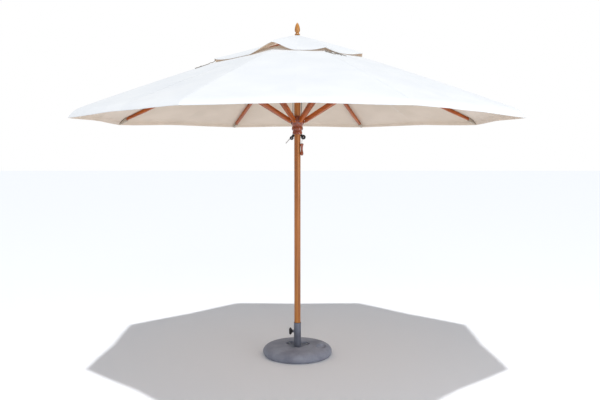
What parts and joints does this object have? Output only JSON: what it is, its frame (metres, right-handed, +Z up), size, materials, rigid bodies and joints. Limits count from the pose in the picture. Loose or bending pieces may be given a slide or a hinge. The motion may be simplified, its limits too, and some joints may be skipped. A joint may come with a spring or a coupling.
{
  "type": "patio umbrella with base",
  "caption": "Octagonal vented wooden market umbrella with ribs, struts, sliding runner and turned finial, standing clamped in the steel tube of a heavy round dome base.",
  "frame": {"origin": "on the ground under the middle of the base, on the pole's axis", "axes": "+Z up along the pole, -Y towards the viewer's side, +X to the viewer's right; one canopy edge faces -Y"},
  "size_m": [3.095, 3.095, 2.578],
  "materials": {
    "concrete": "painted cast concrete, fine orange peel",
    "grey_steel": "powder coated satin",
    "zinc_steel": "zinc plated",
    "black_plastic": "moulded, fine grain",
    "pole_wood": "varnished hardwood, grain along the pole",
    "rib_wood": "varnished hardwood, reddish",
    "turned_wood": "turned hardwood, glossy dark varnish",
    "finial_wood": "turned hardwood, golden varnish",
    "white_canvas": "plain woven canvas",
    "white_rope": "braided cord",
    "black_rope": "braided cord"
  },
  "bodies": {
    "base": {"base_shell": "concrete", "stand_tube": "grey_steel", "tube_bush": "black_plastic", "flange_bolt_1": "zinc_steel", "flange_bolt_2": "zinc_steel", "flange_bolt_3": "zinc_steel"},
    "clamp_stud": {"clamp_stud": "zinc_steel"},
    "clamp_knob": {"clamp_knob": "black_plastic"},
    "pole_foot": {"pole_foot": "black_plastic"},
    "mast": {"pole": "pole_wood", "top_hub": "turned_wood", "finial": "finial_wood", "lift_rope": "black_rope"},
    "runner": {"runner": "turned_wood", "pulley_left": "black_plastic", "pulley_right": "black_plastic"},
    "toggle": {"pull_toggle": "turned_wood", "toggle_cord": "white_rope"},
    "lock_pin": {"lock_pin": "zinc_steel"},
    "rib_1": {"rib_1": "rib_wood", "bracket_1": "zinc_steel", "canopy_gore_1": "white_canvas", "cap_gore_1": "white_canvas"},
    "strut_1": {"strut_1": "rib_wood"},
    "rib_2": {"rib_2": "rib_wood", "bracket_2": "zinc_steel", "canopy_gore_2": "white_canvas", "cap_gore_2": "white_canvas"},
    "strut_2": {"strut_2": "rib_wood"},
    "rib_3": {"rib_3": "rib_wood", "bracket_3": "zinc_steel", "canopy_gore_3": "white_canvas", "cap_gore_3": "white_canvas"},
    "strut_3": {"strut_3": "rib_wood"},
    "rib_4": {"rib_4": "rib_wood", "bracket_4": "zinc_steel", "canopy_gore_4": "white_canvas", "cap_gore_4": "white_canvas"},
    "strut_4": {"strut_4": "rib_wood"},
    "rib_5": {"rib_5": "rib_wood", "bracket_5": "zinc_steel", "canopy_gore_5": "white_canvas", "cap_gore_5": "white_canvas"},
    "strut_5": {"strut_5": "rib_wood"},
    "rib_6": {"rib_6": "rib_wood", "bracket_6": "zinc_steel", "canopy_gore_6": "white_canvas", "cap_gore_6": "white_canvas"},
    "strut_6": {"strut_6": "rib_wood"},
    "rib_7": {"rib_7": "rib_wood", "bracket_7": "zinc_steel", "canopy_gore_7": "white_canvas", "cap_gore_7": "white_canvas"},
    "strut_7": {"strut_7": "rib_wood"},
    "rib_8": {"rib_8": "rib_wood", "bracket_8": "zinc_steel", "canopy_gore_8": "white_canvas", "cap_gore_8": "white_canvas"},
    "strut_8": {"strut_8": "rib_wood"}
  },
  "joints": [
    {"name": "clamp_advance", "type": "slide", "parent": "base", "child": "clamp_stud", "axis": [-1, 0, 0], "range_m": [0, 0.0032]},
    {"name": "knob_turn", "type": "hinge", "parent": "clamp_stud", "child": "clamp_knob", "pos_m": [-0.05, 0, 0.187], "axis": [-1, 0, 0], "range_deg": [0, 720]},
    {"name": "pole_lift", "type": "slide", "parent": "base", "child": "pole_foot", "axis": [0, 0, 1], "range_m": [0, 0.16]},
    {"name": "mast_turn", "type": "hinge", "parent": "pole_foot", "child": "mast", "pos_m": [0, 0, 0.2], "axis": [0, 0, 1], "continuous": true},
    {"name": "runner_slide", "type": "slide", "parent": "mast", "child": "runner", "axis": [0, 0, -1], "range_m": [0, 0.7482], "deforming": ["lift_rope"]},
    {"name": "toggle_swing", "type": "hinge", "parent": "runner", "child": "toggle", "pos_m": [0.0375, -0.0092, 1.691], "axis": [0, -1, 0], "range_deg": [0, 25]},
    {"name": "pin_swing", "type": "hinge", "parent": "runner", "child": "lock_pin", "pos_m": [-0.0625, 0, 1.69], "axis": [0, 1, 0], "range_deg": [-30, 30]},
    {"name": "rib_fold_1", "type": "hinge", "parent": "mast", "child": "rib_1", "pos_m": [0.0199, -0.04804, 2.4241], "axis": [0.9239, 0.3827, 0], "range_deg": [0, 67.4], "deforming": ["canopy_gore_1", "cap_gore_1"]},
    {"name": "strut_fold_1", "type": "hinge", "parent": "rib_1", "child": "strut_1", "pos_m": [0.25104, -0.60606, 2.1835], "axis": [0.9239, 0.3827, 0], "range_deg": [-126.69, 0]},
    {"name": "rib_fold_2", "type": "hinge", "parent": "mast", "child": "rib_2", "pos_m": [0.04804, -0.0199, 2.4241], "axis": [0.3827, 0.9239, 0], "range_deg": [0, 67.4], "deforming": ["canopy_gore_2", "cap_gore_2"]},
    {"name": "strut_fold_2", "type": "hinge", "parent": "rib_2", "child": "strut_2", "pos_m": [0.60606, -0.25104, 2.1835], "axis": [0.3827, 0.9239, 0], "range_deg": [-126.69, 0]},
    {"name": "rib_fold_3", "type": "hinge", "parent": "mast", "child": "rib_3", "pos_m": [0.04804, 0.0199, 2.4241], "axis": [-0.3827, 0.9239, 0], "range_deg": [0, 67.4], "deforming": ["canopy_gore_3", "cap_gore_3"]},
    {"name": "strut_fold_3", "type": "hinge", "parent": "rib_3", "child": "strut_3", "pos_m": [0.60606, 0.25104, 2.1835], "axis": [-0.3827, 0.9239, 0], "range_deg": [-126.69, 0]},
    {"name": "rib_fold_4", "type": "hinge", "parent": "mast", "child": "rib_4", "pos_m": [0.0199, 0.04804, 2.4241], "axis": [-0.9239, 0.3827, 0], "range_deg": [0, 67.4], "deforming": ["canopy_gore_4", "cap_gore_4"]},
    {"name": "strut_fold_4", "type": "hinge", "parent": "rib_4", "child": "strut_4", "pos_m": [0.25104, 0.60606, 2.1835], "axis": [-0.9239, 0.3827, 0], "range_deg": [-126.69, 0]},
    {"name": "rib_fold_5", "type": "hinge", "parent": "mast", "child": "rib_5", "pos_m": [-0.0199, 0.04804, 2.4241], "axis": [-0.9239, -0.3827, 0], "range_deg": [0, 67.4], "deforming": ["canopy_gore_5", "cap_gore_5"]},
    {"name": "strut_fold_5", "type": "hinge", "parent": "rib_5", "child": "strut_5", "pos_m": [-0.25104, 0.60606, 2.1835], "axis": [-0.9239, -0.3827, 0], "range_deg": [-126.69, 0]},
    {"name": "rib_fold_6", "type": "hinge", "parent": "mast", "child": "rib_6", "pos_m": [-0.04804, 0.0199, 2.4241], "axis": [-0.3827, -0.9239, 0], "range_deg": [0, 67.4], "deforming": ["canopy_gore_6", "cap_gore_6"]},
    {"name": "strut_fold_6", "type": "hinge", "parent": "rib_6", "child": "strut_6", "pos_m": [-0.60606, 0.25104, 2.1835], "axis": [-0.3827, -0.9239, 0], "range_deg": [-126.69, 0]},
    {"name": "rib_fold_7", "type": "hinge", "parent": "mast", "child": "rib_7", "pos_m": [-0.04804, -0.0199, 2.4241], "axis": [0.3827, -0.9239, 0], "range_deg": [0, 67.4], "deforming": ["canopy_gore_7", "cap_gore_7"]},
    {"name": "strut_fold_7", "type": "hinge", "parent": "rib_7", "child": "strut_7", "pos_m": [-0.60606, -0.25104, 2.1835], "axis": [0.3827, -0.9239, 0], "range_deg": [-126.69, 0]},
    {"name": "rib_fold_8", "type": "hinge", "parent": "mast", "child": "rib_8", "pos_m": [-0.0199, -0.04804, 2.4241], "axis": [0.9239, -0.3827, 0], "range_deg": [0, 67.4], "deforming": ["canopy_gore_8", "cap_gore_8"]},
    {"name": "strut_fold_8", "type": "hinge", "parent": "rib_8", "child": "strut_8", "pos_m": [-0.25104, -0.60606, 2.1835], "axis": [0.9239, -0.3827, 0], "range_deg": [-126.69, 0]}
  ],
  "couplings": [
    {"joint": "clamp_advance", "follows": "knob_turn", "m_per_rad": 0.00023873},
    {"joint": "rib_fold_1", "follows": "runner_slide", "rad_per_m": 1.5699},
    {"joint": "strut_fold_1", "follows": "runner_slide", "rad_per_m": -2.953},
    {"joint": "rib_fold_2", "follows": "runner_slide", "rad_per_m": 1.5699},
    {"joint": "strut_fold_2", "follows": "runner_slide", "rad_per_m": -2.953},
    {"joint": "rib_fold_3", "follows": "runner_slide", "rad_per_m": 1.5699},
    {"joint": "strut_fold_3", "follows": "runner_slide", "rad_per_m": -2.953},
    {"joint": "rib_fold_4", "follows": "runner_slide", "rad_per_m": 1.5699},
    {"joint": "strut_fold_4", "follows": "runner_slide", "rad_per_m": -2.953},
    {"joint": "rib_fold_5", "follows": "runner_slide", "rad_per_m": 1.5699},
    {"joint": "strut_fold_5", "follows": "runner_slide", "rad_per_m": -2.953},
    {"joint": "rib_fold_6", "follows": "runner_slide", "rad_per_m": 1.5699},
    {"joint": "strut_fold_6", "follows": "runner_slide", "rad_per_m": -2.953},
    {"joint": "rib_fold_7", "follows": "runner_slide", "rad_per_m": 1.5699},
    {"joint": "strut_fold_7", "follows": "runner_slide", "rad_per_m": -2.953},
    {"joint": "rib_fold_8", "follows": "runner_slide", "rad_per_m": 1.5699},
    {"joint": "strut_fold_8", "follows": "runner_slide", "rad_per_m": -2.953}
  ]
}
